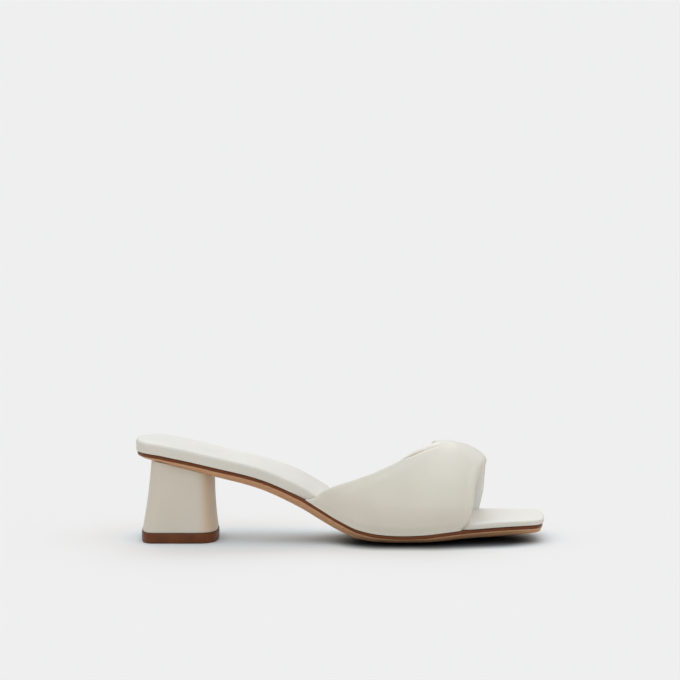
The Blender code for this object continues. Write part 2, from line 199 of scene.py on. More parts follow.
# Shares of the named heights, the sole edge and the tread's belly along the last
SOLE_COLUMNS = ("station", "heel", "spring", "arch", "edge", "belly")
SOLE_LINE = (
    (0.00, 1.000, 0.00, 0.00, 0.60, 0.00),
    (0.05, 0.988, 0.00, 0.00, 0.72, 0.00),
    (0.10, 0.944, 0.00, 0.00, 0.84, 0.00),
    (0.20, 0.823, 0.00, 0.00, 1.04, 0.00),
    (0.30, 0.690, 0.00, 0.25, 1.14, 0.20),
    (0.40, 0.468, 0.00, 0.95, 1.26, 0.30),
    (0.45, 0.316, 0.00, 1.00, 1.28, 0.35),
    (0.50, 0.168, 0.00, 0.70, 1.22, 0.45),
    (0.55, 0.055, 0.00, 0.35, 1.06, 0.75),
    (0.60, 0.011, 0.00, 0.10, 0.86, 1.00),
    (0.65, 0.000, 0.00, 0.00, 0.78, 1.00),
    (0.70, 0.000, 0.08, 0.00, 0.84, 1.00),
    (0.75, 0.000, 0.34, 0.00, 0.94, 0.95),
    (0.80, 0.000, 0.56, 0.00, 0.96, 0.88),
    (0.88, 0.000, 0.76, 0.00, 1.02, 0.70),
    (0.95, 0.000, 0.89, 0.00, 0.94, 0.45),
    (1.00, 0.000, 1.00, 0.00, 0.76, 0.20),
)

# Station along the last, and the share there of the bevel, of the rounding and of the footbed's thickness
BEVEL_ALONG = ((0.00, 0.60), (0.08, 1.00), (0.90, 1.00), (1.00, 0.30))
ROUND_ALONG = ((0.00, 1.00), (0.76, 1.00), (0.92, 0.60), (1.00, 0.60))
FOOTBED_PADDING = ((0.00, 1.00), (0.45, 1.00), (0.80, 0.60), (0.90, 0.49), (1.00, 0.42))

# Station, the width that counts there, and the share of it that lies on this side of the middle
OUTER_SIDE = (
    (0.00, HEEL_SEAT_WIDTH, 0.490),
    (0.12, HEEL_SEAT_WIDTH, 0.500),
    (0.28, HEEL_SEAT_WIDTH, 0.470),
    (0.42, WAIST_WIDTH, 0.545),
    (0.54, BALL_WIDTH, 0.432),
    (0.64, BALL_WIDTH, 0.494),
    (0.72, BALL_WIDTH, 0.490),
    (0.84, BALL_WIDTH, 0.410),
    (0.93, TOE_WIDTH, 0.505),
    (1.00, TOE_WIDTH, 0.470),
)
INNER_SIDE = (
    (0.00, HEEL_SEAT_WIDTH, 0.490),
    (0.12, HEEL_SEAT_WIDTH, 0.500),
    (0.28, HEEL_SEAT_WIDTH, 0.445),
    (0.42, WAIST_WIDTH, 0.440),
    (0.54, BALL_WIDTH, 0.345),
    (0.66, BALL_WIDTH, 0.462),
    (0.74, BALL_WIDTH, 0.490),
    (0.84, BALL_WIDTH, 0.396),
    (0.93, TOE_WIDTH, 0.478),
    (1.00, TOE_WIDTH, 0.450),
)

# Station, and whether the upper is lasted between footbed and outsole there
LASTED_OUTER = ((0.37, 0.0), (0.42, 1.0), (0.79, 1.0), (0.83, 0.0))
LASTED_INNER = ((0.46, 0.0), (0.52, 1.0), (0.84, 1.0), (0.88, 0.0))

# Station, and the crown's height as a share of the instep's
CROWN_LINE = (
    (0.38, 1.660),
    (0.50, 1.400),
    (0.60, 1.220),
    (0.69, 1.080),
    (0.75, 1.000),
    (0.77, 0.988),
    (0.79, 0.951),
    (0.81, 0.904),
    (0.833, 0.863),
    (0.85, 0.828),
    (0.90, 0.740),
)

# Wrap round the foot, from the outer sole edge to the inner one, and the stations of the two rims
RIMS = (
    (0.00, 0.415, 0.792),
    (0.03, 0.440, 0.812),
    (0.07, 0.467, 0.820),
    (0.14, 0.530, 0.825),
    (0.20, 0.591, 0.828),
    (0.26, 0.639, 0.832),
    (0.31, 0.666, 0.838),
    (0.37, 0.693, 0.849),
    (0.44, 0.720, 0.855),
    (0.50, 0.730, 0.857),
    (0.62, 0.724, 0.858),
    (0.75, 0.682, 0.858),
    (0.87, 0.606, 0.856),
    (1.00, 0.515, 0.843),
)

# Wrap, and the outer half's throat edge and toe edge as shares of the way from the back rim to the front one
CROSSING = (
    (0.24, -0.24, 1.20),
    (0.27, 0.03, 1.16),
    (0.31, 0.10, 1.12),
    (0.38, 0.21, 1.07),
    (0.46, 0.37, 0.99),
    (0.54, 0.52, 0.90),
    (0.62, 0.66, 0.80),
    (0.68, 0.76, 0.74),
    (0.76, 1.00, 0.50),
)

# Soft folds that the crossing pulls into the band: wrap and share where each starts, wrap and share where
# it ends, its depth and its half width
FOLDS = (
    (0.66, 0.72, 0.50, 0.66, 0.00050, 0.0026),
    (0.66, 0.75, 0.47, 0.80, 0.00042, 0.0030),
    (0.64, 0.70, 0.52, 0.54, 0.00036, 0.0024),
    (0.66, 0.60, 0.82, 0.40, 0.00050, 0.0030),
    (0.70, 0.74, 0.88, 0.66, 0.00046, 0.0032),
    (0.70, 0.80, 0.86, 0.86, 0.00040, 0.0028),
    (0.42, 0.06, 0.60, 0.30, 0.00034, 0.0026),
)

# The bevel's section: share of its height and share of its inset
BEVEL_SECTION = ((0.18, 0.10), (0.34, 0.25), (0.5, 0.42), (0.65, 0.58), (0.82, 0.78), (1.0, 1.0))
BEVEL_START = 0.06

# How finely the pieces are divided
UPPER_ROWS = 260
UPPER_COLUMNS = 96
RIM_STEPS = 10
END_ROWS = 22
SOLE_ROWS = 150
SOLE_ACROSS = 44
HEEL_ACROSS = 8
HEEL_PLAN_ROWS = 30
HEEL_RISES = 26


def smooth_curve(rows, column=1):
    """A curve through the rows' points that never overshoots them."""
    at = np.array([row[0] for row in rows])
    value = np.array([row[column] for row in rows])
    step = np.diff(at)
    slope = np.diff(value) / step
    tangent = np.zeros(len(at))
    tangent[0] = slope[0]
    tangent[-1] = slope[-1]
    for k in range(1, len(at) - 1):
        before, after = slope[k - 1], slope[k]
        if before * after > 0:
            tangent[k] = 2 * before * after / (before + after)

    def curve(where):
        where = np.clip(where, at[0], at[-1])
        k = np.clip(np.searchsorted(at, where, side="right") - 1, 0, len(step) - 1)
        t = (where - at[k]) / step[k]
        ends = value[k] * (1 + 2 * t) * (1 - t) ** 2 + value[k + 1] * t * t * (3 - 2 * t)
        bends = tangent[k] * t * (1 - t) ** 2 + tangent[k + 1] * t * t * (t - 1)
        return ends + step[k] * bends

    return curve


def ramp(value):
    """0 below 0, 1 above 1, and a soft rise between."""
    value = np.clip(value, 0.0, 1.0)
    return value * value * (3 - 2 * value)


sole_curve = {name: smooth_curve(SOLE_LINE, k) for k, name in enumerate(SOLE_COLUMNS) if k}
outer_half = smooth_curve([(station, width * share) for station, width, share in OUTER_SIDE])
inner_half = smooth_curve([(station, width * share) for station, width, share in INNER_SIDE])
bevel_share = smooth_curve(BEVEL_ALONG)
round_share = smooth_curve(ROUND_ALONG)
footbed_padding = smooth_curve(FOOTBED_PADDING)
lasted_outer = smooth_curve(LASTED_OUTER)
lasted_inner = smooth_curve(LASTED_INNER)
crown_share = smooth_curve(CROWN_LINE)
back_rim = smooth_curve(RIMS, 1)
front_rim = smooth_curve(RIMS, 2)
throat_edge = smooth_curve(CROSSING, 1)
toe_edge = smooth_curve(CROSSING, 2)


def sole_top(x, y):
    """Height of the outsole's upper side, with its raised arch on the inner side."""
    station = x / LENGTH
    line = HEEL_RISE * sole_curve["heel"](station) + TOE_SPRING * sole_curve["spring"](station)
    side = np.clip(y / inner_half(station), 0.0, 1.0)
    return BALL_THICKNESS + line + ARCH_LIFT * sole_curve["arch"](station) * side**2


def lasted(x, y):
    """1 where the upper is lasted under, 0 where it isn't."""
    station = x / LENGTH
    return np.where(y > 0, lasted_inner(station), lasted_outer(station))


def bevel_foot(x, y):
    """Height of the sole edge's foot."""
    return sole_top(x, y) - SOLE_EDGE * sole_curve["edge"](x / LENGTH)


def tread(x, y):
    """Height of the underside, which is rounded down to the floor and flat there."""
    station = x / LENGTH
    half = np.where(y > 0, inner_half(station), outer_half(station)) - BEVEL_INSET * bevel_share(station)
    across = np.clip(1 - np.abs(y / half) ** BELLY_SQUARE, 0.0, 1.0)
    return np.maximum(bevel_foot(x, y) - BELLY_DEPTH * sole_curve["belly"](station) * across, 0.0)


def footbed_top(x, y):
    """Height of the footbed's upper side, a little dished under the heel."""
    station = x / LENGTH
    thickness = FOOTBED_THICKNESS * footbed_padding(station)
    across = np.clip(1 - (2 * y / HEEL_SEAT_WIDTH) ** 2, 0.0, 1.0)
    dish = HEEL_DISH * across * ramp(station / 0.08) * ramp((0.35 - station) / 0.15)
    return sole_top(x, y) + CLEARANCE + thickness - dish


def lowered(surface, drop):
    """The surface, which gives a height for each place of the plan, moved down."""
    return lambda x, y: surface(x, y) - drop


def level(height):
    """A flat surface."""
    return lambda x, y: height + 0.0 * x


def between(first, second, share):
    """The surface a share of the way from the first to the second."""
    return lambda x, y: (1 - share) * first(x, y) + share * second(x, y)


def plan_rows(back, front, back_turn, back_square, front_turn, front_square, rows):
    """Lengths from back to front and the share of the full width at each, both ends turned."""
    angle = np.linspace(0, math.pi / 2, END_ROWS + 1)
    back_x = back + back_turn * (1 - np.cos(angle) ** (2 / back_square))
    back_share = np.sin(angle) ** (2 / back_square)
    front_x = front - front_turn * (1 - np.cos(angle) ** (2 / front_square))
    front_share = np.sin(angle) ** (2 / front_square)
    middle_x = np.linspace(back_x[-1], front_x[-1], rows + 1)[1:-1]
    x = np.concatenate([back_x, middle_x, front_x[::-1]])
    share = np.concatenate([back_share, np.ones(len(middle_x)), front_share[::-1]])
    return x, share


def plan_loop(x, outer, inner):
    """The closed outline of a plan and its inward directions, back tip first, then the outer side."""
    side = np.column_stack([x, -outer])
    back = np.column_stack([x, inner])[-2:0:-1]
    loop = np.concatenate([side, back])
    along = np.roll(loop, -1, axis=0) - np.roll(loop, 1, axis=0)
    along /= np.linalg.norm(along, axis=1)[:, None]
    return loop, np.column_stack([-along[:, 1], along[:, 0]])


def ring_of(loop, inward, inset, height):
    """The plan's outline moved inwards and laid on a surface."""
    flat = loop + inward * np.reshape(inset, (-1, 1))
    return np.column_stack([flat, height(flat[:, 0], flat[:, 1])])


def sole_loop():
    """The plan of the outsole and of the footbed."""
    x, share = plan_rows(0.0, LENGTH, HEEL_TURN, HEEL_SQUARE, TOE_TURN, TOE_SQUARE, SOLE_ROWS)
    return plan_loop(x, outer_half(x / LENGTH) * share, inner_half(x / LENGTH) * share)


# The frame's own place: the outsole's outline is the same here and there
outline, _ = sole_loop()
low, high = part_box("footbed")
step_side = outline[:, 1] - np.sign(outline[:, 1]) * LASTING_STEP * lasted(outline[:, 0], outline[:, 1])
SHIFT = np.array([low[0], (low[1] + high[1] - step_side.min() - step_side.max()) / 2, 0.0])


def placed(name, data):
    """A new object in the scene."""
    thing = bpy.data.objects.new(name, data)
    bpy.context.scene.collection.objects.link(thing)
    return thing


def face_outwards(mesh):
    """Turns all faces of a closed mesh outwards."""
    shape = bmesh.new()
    shape.from_mesh(mesh)
    bmesh.ops.recalc_face_normals(shape, faces=shape.faces)
    shape.to_mesh(mesh)
    shape.free()


def skin(name, rings, materials, zones=None, across=1, top=None, bottom=None):
    """A closed mesh: the rings in order, and a cap of across columns over the first and over the last.

    zones gives the number of a face's material from its ring and its place, and from -1 or -2 for a cap.
    top and bottom are the surfaces on which the caps' inner points lie.
    """
    count = len(rings[0])
    half = count // 2
    points = [np.concatenate(rings)]
    made = len(rings) * count
    faces = []
    kinds = []
    zones = zones or (lambda row, k: 0)
    for row in range(len(rings) - 1):
        for k in range(count):
            here = row * count + k
            beside = row * count + (k + 1) % count
            faces.append((here, beside, beside + count, here + count))
            kinds.append(zones(row, k))
    for cap, (first, height) in enumerate(((0, top), ((len(rings) - 1) * count, bottom))):
        ring = rings[0] if cap == 0 else rings[-1]
        rows = [[first]]
        for k in range(1, half):
            row = [first + k]
            if across > 1:
                part = np.linspace(0, 1, across + 1)[1:-1, None]
                inside = ring[k] + (ring[count - k] - ring[k]) * part
                inside[:, 2] = height(inside[:, 0], inside[:, 1])
                points.append(inside)
                row += list(range(made, made + across - 1))
                made += across - 1
            rows.append(row + [first + count - k])
        rows.append([first + half])
        for row, after in zip(rows, rows[1:]):
            for step in range(across):
                if len(row) == 1:
                    faces.append((row[0], after[step], after[step + 1]))
                elif len(after) == 1:
                    faces.append((row[step], after[0], row[step + 1]))
                else:
                    faces.append((row[step], after[step], after[step + 1], row[step + 1]))
                kinds.append(zones(-1 - cap, 0))
    points = np.concatenate(points) + SHIFT
    mesh = bpy.data.meshes.new(name)
    mesh.from_pydata(points.tolist(), [], faces)
    mesh.polygons.foreach_set("material_index", kinds)
    face_outwards(mesh)
    for material in materials:
        mesh.materials.append(material)
    mesh.shade_smooth()
    mesh.set_sharp_from_angle(angle=math.radians(38))
    return placed(name, mesh)


class Nodes:
    """A short way to write a material's nodes."""

    def __init__(self, name):
        self.material = bpy.data.materials.new(name)
        self.material.use_nodes = True
        self.tree = self.material.node_tree
        self.shader = self.tree.nodes["Principled BSDF"]
        self.place = self.add("ShaderNodeTexCoord").outputs["Object"]

    def add(self, kind, inputs=None, **settings):
        node = self.tree.nodes.new(kind)
        for key, value in settings.items():
            setattr(node, key, value)
        for key, value in (inputs or {}).items():
            if isinstance(value, bpy.types.NodeSocket):
                self.tree.links.new(value, node.inputs[key])
            else:
                node.inputs[key].default_value = value
        return node

    def noise(self, size, detail=2.0, rough=0.5, vector=None):
        """Cloudy noise whose lumps are size metres across."""
        values = {"Vector": vector or self.place, "Scale": 1 / size, "Detail": detail, "Roughness": rough}
        return self.add("ShaderNodeTexNoise", values).outputs["Fac"]

    def cells(self, size):
        """Distance to the borders of small cells, for grain."""
        values = {"Vector": self.place, "Scale": 1 / size}
        return self.add("ShaderNodeTexVoronoi", values, feature="DISTANCE_TO_EDGE").outputs["Distance"]

    def stretch(self, x, y, z):
        return self.add("ShaderNodeMapping", {"Vector": self.place, "Scale": (x, y, z)}).outputs["Vector"]

    def span(self, value, low, high, to_low, to_high, kind="LINEAR"):
        values = {"Value": value, "From Min": low, "From Max": high, "To Min": to_low, "To Max": to_high}
        return self.add("ShaderNodeMapRange", values, interpolation_type=kind).outputs["Result"]

    def soft_span(self, value, low, high, to_low, to_high):
        return self.span(value, low, high, to_low, to_high, "SMOOTHSTEP")

    def smaller(self, first, second):
        return self.add("ShaderNodeMath", {0: first, 1: second}, operation="MINIMUM").outputs[0]

    def vector(self, kind, first, second):
        node = self.add("ShaderNodeVectorMath", {0: first, 1: second}, operation=kind)
        return node.outputs["Value" if kind in ("DOT_PRODUCT", "DISTANCE") else "Vector"]

    def line_distance(self, start, end):
        """Distance of a point on the floor from a straight line between two points of it."""
        way = (end[0] - start[0], end[1] - start[1], 0.0)
        size = math.hypot(*way)
        from_start = self.vector("SUBTRACT", self.place, (*start, 0.0))
        share = self.vector("DOT_PRODUCT", from_start, tuple(value / size**2 for value in way))
        held = self.add("ShaderNodeClamp", {"Value": share}).outputs[0]
        across = self.add("ShaderNodeCombineXYZ", {0: held, 1: held, 2: held}).outputs[0]
        return self.vector("DISTANCE", from_start, self.vector("MULTIPLY", across, way))

    def mix(self, factor, first, second):
        node = self.add("ShaderNodeMix", data_type="RGBA")
        self.tree.links.new(factor, node.inputs["Factor"])
        for key, value in ((6, first), (7, second)):
            if isinstance(value, bpy.types.NodeSocket):
                self.tree.links.new(value, node.inputs[key])
            else:
                node.inputs[key].default_value = (*value, 1.0)
        return node.outputs[2]

    def bump(self, height, depth, strength=1.0, normal=None):
        values = {"Height": height, "Distance": depth, "Strength": strength}
        if normal:
            values["Normal"] = normal
        return self.add("ShaderNodeBump", values).outputs["Normal"]

    def link(self, socket, key):
        self.tree.links.new(socket, self.shader.inputs[key])

    def fixed(self, **values):
        for key, value in values.items():
            self.shader.inputs[key.replace("_", " ")].default_value = value


def tone(colour, factor):
    """The colour made lighter or darker."""
    return tuple(min(1.0, channel * factor) for channel in colour)


def leather(name, colour, rough=0.46, grain=0.0011, depth=0.00005, waves=0.00012, breast=None):
    """Smooth dyed leather: small pebbles, pores, slow waves in the skin and a little uneven dye.

    breast is a pair of lengths between which a painted warm reflection of the tan sole's bounce light turns the
    colour warmer towards the toe.
    """
    n = Nodes(name)
    cloud = n.noise(0.035, 3.0)
    shade = n.mix(n.span(cloud, 0.35, 0.65, 0.0, 1.0), tone(colour, 0.965), tone(colour, 1.02))
    fine = n.noise(0.0012, 2.0)
    dirt = (colour[0] * 0.97, colour[1] * 0.955, colour[2] * 0.93)
    shade = n.mix(n.span(fine, 0.60, 0.85, 0.0, 0.35), shade, dirt)
    if breast:
        # Painted reflection: the tan sole's warm bounce light, put into the colour towards the heel's breast
        along = n.add("ShaderNodeSeparateXYZ", {0: n.place}).outputs["X"]
        painted_reflection = (colour[0] * 1.02, colour[1] * 0.885, colour[2] * 0.78)
        shade = n.mix(n.soft_span(along, *breast, 0.0, 1.0), shade, painted_reflection)
    n.link(shade, "Base Color")
    n.link(n.span(n.noise(0.006, 3.0), 0.3, 0.7, rough - 0.04, rough + 0.05), "Roughness")
    skin_waves = n.bump(n.noise(0.016, 1.5), waves)
    pebbles = n.bump(n.span(n.cells(grain), 0.0, 0.35, 0.0, 1.0), depth, 0.55, skin_waves)
    pores = n.bump(n.noise(0.00042, 2.0), depth * 0.5, 0.35, pebbles)
    n.link(pores, "Normal")
    n.fixed(Metallic=0.0, Specular_IOR_Level=0.42, IOR=1.48, Sheen_Weight=0.06, Sheen_Roughness=0.5)
    return n.material


def sole_edge(name, colours, rough, streak):
    """Dyed and waxed cut edge of the sole, with streaks along it."""
    n = Nodes(name)
    streaks = n.noise(streak, 3.0, 0.6, n.stretch(0.08, 0.3, 1.0))
    blotch = n.noise(0.012, 3.0, 0.55)
    colour = n.mix(n.span(streaks, 0.36, 0.66, 0.0, 1.0), *colours)
    colour = n.mix(n.span(blotch, 0.5, 0.8, 0.0, 0.4), colour, tone(colours[0], 0.8))
    n.link(colour, "Base Color")
    n.link(n.span(n.noise(0.004, 2.0), 0.3, 0.7, rough - 0.06, rough + 0.08), "Roughness")
    n.link(n.bump(streaks, 0.00003, 0.5), "Normal")
    n.fixed(Metallic=0.0, Specular_IOR_Level=0.28)
    return n.material


def tread_leather(name):
    """Underside of the sole: tan leather, rubbed and scuffed along the walk."""
    n = Nodes(name)
    fibres = n.noise(0.0009, 4.0, 0.65)
    blotch = n.noise(0.030, 3.0, 0.6)
    scuffs = n.noise(0.0030, 3.0, 0.7, n.stretch(0.25, 1.0, 1.0))
    colour = n.mix(n.span(blotch, 0.38, 0.64, 0.0, 1.0), *TREAD_COLOURS)
    colour = n.mix(n.span(scuffs, 0.60, 0.78, 0.0, 0.5), colour, TREAD_SCUFF)
    n.link(colour, "Base Color")
    n.link(n.span(scuffs, 0.4, 0.75, 0.46, 0.68), "Roughness")
    n.link(n.bump(scuffs, 0.00012, 0.4, n.bump(fibres, 0.00006, 0.5)), "Normal")
    n.fixed(Metallic=0.0, Specular_IOR_Level=0.4)
    return n.material


def lift_rubber(name):
    """Dense brown rubber with fine specks."""
    n = Nodes(name)
    speck = n.noise(0.0007, 3.0, 0.6)
    blotch = n.noise(0.010, 2.0)
    colour = n.mix(n.span(blotch, 0.35, 0.65, 0.0, 1.0), *RUBBER_COLOURS)
    colour = n.mix(n.span(speck, 0.62, 0.80, 0.0, 0.5), colour, RUBBER_SPECK)
    n.link(colour, "Base Color")
    n.link(n.span(speck, 0.3, 0.7, 0.42, 0.56), "Roughness")
    n.link(n.bump(speck, 0.00005, 0.5), "Normal")
    n.fixed(Metallic=0.0, Specular_IOR_Level=0.28)
    return n.material


upper_leather = leather("upper_leather", UPPER_COLOUR)
lining_leather = leather("lining_leather", LINING_COLOUR, 0.58, 0.0008, 0.00003, 0.0001)
footbed_leather = leather("footbed_leather", FOOTBED_COLOUR, 0.5, 0.0010, 0.00004, 0.0001)
# The heel's leather carries a painted warm reflection of the sole towards its breast
heel_leather = leather("heel_leather", HEEL_COLOUR, 0.44, 0.0012, 0.00004, 0.00008, BREAST_REFLECTION_SPAN)
edge_dark = sole_edge("sole_edge_dark", EDGE_DARK, 0.42, 0.0006)
edge_light = sole_edge("sole_edge_light", EDGE_LIGHT, 0.46, 0.0008)
tread_material = tread_leather("sole_tread")
rubber = lift_rubber("lift_rubber")


def make_outsole():
    """Two-tone edge: a dark upright strip, a fine groove and a lighter bevel down to the tread."""
    loop, inward = sole_loop()
    set_in = SOLE_SET_IN * (1 - lasted(loop[:, 0], loop[:, 1]))
    bevel = BEVEL_INSET * bevel_share(loop[:, 0] / LENGTH)
    strip = (
        (CLEARANCE, 0.0),
        (EDGE_BREAK, EDGE_BREAK),
        (0.0, CLEARANCE),
        (0.0, EDGE_STRIP / 2),
        (0.0, EDGE_STRIP - STRIP_LIP),
        (STRIP_GROOVE, EDGE_STRIP - EDGE_BREAK),
        (STRIP_GROOVE, EDGE_STRIP),
    )
    rings = [ring_of(loop, inward, set_in + inset, lowered(sole_top, drop)) for inset, drop in strip]
    dark_levels = len(strip) - 1
    strip_foot = lowered(sole_top, EDGE_STRIP)
    rings.append(ring_of(loop, inward, set_in + BEVEL_LIP, between(strip_foot, bevel_foot, BEVEL_START)))
    for share, inset in BEVEL_SECTION:
        rings.append(ring_of(loop, inward, set_in + bevel * inset, between(strip_foot, bevel_foot, share)))

    def zones(row, k):
        if row == -2:
            return 2
        return 1 if row >= dark_levels else 0

    materials = [edge_dark, edge_light, tread_material]
    piece = skin("sole", rings, materials, zones, SOLE_ACROSS, sole_top, tread)
    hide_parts("outsole")
    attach(piece, "root")
    return piece


def make_footbed():
    """A cushion with a rounded top edge and an upright wrapped side."""
    loop, inward = sole_loop()
    step = LASTING_STEP * lasted(loop[:, 0], loop[:, 1])
    radius = FOOTBED_ROUND * round_share(loop[:, 0] / LENGTH)
    seat = lowered(sole_top, -CLEARANCE)
    rings = []
    for angle in np.linspace(0, math.pi / 2, 9):
        inset = radius * (1 - math.sin(angle))
        drop = radius * (1 - math.cos(angle))
        rings.append(ring_of(loop, inward, step + inset, lowered(footbed_top, drop)))
    side_top = lowered(footbed_top, radius)
    side_foot = lowered(seat, -CLEARANCE)
    for share in (0.3, 0.6, 0.85):
        rings.append(ring_of(loop, inward, step, between(side_top, side_foot, share)))
    rings.append(ring_of(loop, inward, step + EDGE_BREAK, lowered(seat, -EDGE_BREAK)))
    rings.append(ring_of(loop, inward, step + 2 * CLEARANCE, seat))
    piece = skin("footbed_cushion", rings, [footbed_leather], None, SOLE_ACROSS, footbed_top, seat)
    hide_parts("footbed")
    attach(piece, "root")
    return piece


def heel_loop(rise, margin=0.0):
    """The heel's plan at a share of its height, 0 at its foot, with slightly hollow sides."""
    hollow = HEEL_HOLLOW * math.sin(math.pi * rise)
    back = HEEL_BACK_LOW + (HEEL_BACK_HIGH - HEEL_BACK_LOW) * rise + hollow - margin
    breast = HEEL_BREAST_LOW + (HEEL_BREAST_HIGH - HEEL_BREAST_LOW) * rise - hollow + margin
    width = HEEL_WIDTH_LOW + (HEEL_WIDTH_HIGH - HEEL_WIDTH_LOW) * rise - 2 * hollow + 2 * margin
    turns = (HEEL_BACK_TURN, HEEL_BACK_SQUARE, BREAST_TURN, BREAST_SQUARE)
    x, share = plan_rows(back, breast, *turns, HEEL_PLAN_ROWS)
    return plan_loop(x, width / 2 * share, width / 2 * share)


def make_heel():
    """The wrapped block, with a small tuck where its leather goes under."""
    foot = level(TOP_LIFT_THICKNESS + CLEARANCE)
    seat = lowered(tread, CLEARANCE)
    rings = []
    for rise in np.concatenate([[1.0], np.linspace(0.985, 0.03, HEEL_RISES), [0.018, 0.008, 0.0]]):
        loop, inward = heel_loop(rise)
        tuck = HEEL_TUCK * max(0.0, 1 - rise / HEEL_TUCK_RISE) ** 2
        rings.append(ring_of(loop, inward, tuck, between(foot, seat, rise)))
    piece = skin("heel_wrap", rings, [heel_leather], None, HEEL_ACROSS, seat, foot)
    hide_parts("heel_block")
    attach(piece, "root")
    return piece


def make_top_lift():
    """The walking piece, with a broken top edge and a small chamfer at the floor."""
    loop, inward = heel_loop(0.0, TOP_LIFT_MARGIN)
    section = (
        (LIFT_BREAK, TOP_LIFT_THICKNESS),
        (EDGE_BREAK, TOP_LIFT_THICKNESS - EDGE_BREAK),
        (0.0, TOP_LIFT_THICKNESS - LIFT_BREAK),
        (0.0, TOP_LIFT_THICKNESS / 2),
        (0.0, TOP_LIFT_CHAMFER),
        (TOP_LIFT_CHAMFER * 0.3, TOP_LIFT_CHAMFER * 0.3),
        (TOP_LIFT_CHAMFER, 0.0),
    )
    rings = [ring_of(loop, inward, inset, level(height)) for inset, height in section]
    piece = skin("heel_tip", rings, [rubber], None, HEEL_ACROSS, level(TOP_LIFT_THICKNESS), level(0.0))
    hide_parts("top_lift")
    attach(piece, "root")
    return piece


def last_point(x, wrap):
    """A point on the last, the inner form of the band, at a length and a wrap round the foot."""
    station = x / LENGTH
    outer = outer_half(station) - LASTING_STEP * lasted_outer(station) + CLEARANCE
    inner = inner_half(station) - LASTING_STEP * lasted_inner(station) + CLEARANCE
    angle = math.pi * np.clip((wrap - UPRIGHT_WRAP) / (1 - 2 * UPRIGHT_WRAP), 0.0, 1.0)
    across = np.cos(angle)
    reach = np.abs(across) ** (2 / ARCH_SQUARE)
    up = np.sin(angle) ** (2 / ARCH_SQUARE)
    y = np.where(across > 0, -outer * reach, inner * reach) + RIDGE_SHIFT * up
    foot = sole_top(x, y + np.sign(y) * LASTED_WALL) + CLEARANCE
    climb = np.clip(np.minimum(wrap, 1 - wrap) / UPRIGHT_WRAP, 0.0, 1.0)
    crown = INSTEP_HEIGHT * crown_share(station)
    start = foot + (ARCH_START - CLEARANCE) * climb
    return np.stack([x, y, start + (crown - start) * up], axis=-1)


def last_normal(x, wrap):
    """The direction out of the last."""
    reach = LENGTH / 480
    turn = 0.002
    along = last_point(x + reach, wrap) - last_point(x - reach, wrap)
    around = last_point(x, np.minimum(wrap + turn, 1.0)) - last_point(x, np.maximum(wrap - turn, 0.0))
    normal = np.cross(around, along)
    normal /= np.linalg.norm(normal, axis=-1)[..., None]
    core = last_point(x, np.full_like(wrap, 0.5)) * [1, 0, 0] + [0, 0, 0.4 * INSTEP_HEIGHT]
    out = last_point(x, wrap) - core
    return normal * np.sign(np.sum(normal * out, axis=-1))[..., None]


def crossing(wrap, share, width):
    """The outer half lies on top with a rolled edge, and a groove runs beside it."""
    from_throat = (share - throat_edge(wrap)) * width
    from_toe = (toe_edge(wrap) - share) * width
    inside = np.minimum(from_throat, from_toe)
    roll = np.clip(inside / CROSSING_ROLL, 0.0, 1.0)
    rise = np.sqrt(1 - (1 - roll) ** 2)
    groove = np.where(inside < 0, np.exp(-((inside / GROOVE_WIDTH) ** 2)), 1 - rise)
    near_top = ramp((wrap - 0.10) / 0.20)
    in_front = FRONT_SWELL * ramp((share - 0.66) / 0.20)
    in_front = in_front * ramp((wrap - 0.20) / 0.12) * ramp((0.84 - wrap) / 0.24)
    fade = ramp((wrap - 0.22) / 0.08) * ramp((0.76 - wrap) / 0.12)
    return in_front + (CROSSOVER_LIFT * near_top - in_front) * rise - CROSSING_GROOVE * groove * fade


def folds(wrap, share, width):
    """Depth of the soft folds at a point of the band."""
    total = np.zeros_like(share)
    for wrap_a, share_a, wrap_b, share_b, depth, half_width in FOLDS:
        ux, uy = (wrap_b - wrap_a) * BAND_GIRTH, (share_b - share_a) * width
        size = math.hypot(ux, uy)
        px, py = (wrap - wrap_a) * BAND_GIRTH, (share - share_a) * width
        along = (px * ux + py * uy) / size**2
        aside = (px * uy - py * ux) / size
        shape = np.exp(-((aside / half_width) ** 2)) - 0.45 * np.exp(-((aside / (2.2 * half_width)) ** 2))
        total += depth * shape * ramp(along / 0.25 + 0.2) * ramp((1.15 - along) / 0.6)
    return total


def band_lengths(wrap, width):
    """Distances from the back rim, closer together at the rims, with one on the middle of the crossing."""
    angle = np.linspace(0, math.pi / 2, RIM_STEPS + 1)
    roll = RIM_ROLL * (1 - np.cos(angle))
    crossed = ramp((wrap - 0.05) / 0.2) * ramp((0.95 - wrap) / 0.2)
    middle = 0.5 + (float(np.clip(throat_edge(wrap), 0.2, 0.8)) - 0.5) * crossed
    behind = np.linspace(RIM_ROLL, middle * width, UPPER_COLUMNS // 2 + 1)[1:]
    ahead = np.linspace(middle * width, width - RIM_ROLL, UPPER_COLUMNS // 2 + 1)[1:-1]
    return np.concatenate([roll, behind, ahead, (width - roll)[::-1]])


def blend_along(grid, at, closed):
    """The grid's rows at the positions in at, counted in rows, on a smooth curve through them."""
    count = len(grid)
    at = np.asarray(at, dtype=float)
    low = np.floor(at).astype(int)
    if not closed:
        low = np.minimum(low, count - 2)
    t = (at - low).reshape((-1,) + (1,) * (grid.ndim - 1))

    def row(k):
        return grid[k % count] if closed else grid[np.clip(k, 0, count - 1)]

    before, here, after, beyond = row(low - 1), row(low), row(low + 1), row(low + 2)
    slope_here, slope_after = (after - before) / 2, (beyond - here) / 2
    ends = here * (1 + 2 * t) * (1 - t) ** 2 + after * t * t * (3 - 2 * t)
    return ends + slope_here * t * (1 - t) ** 2 + slope_after * t * t * (t - 1)


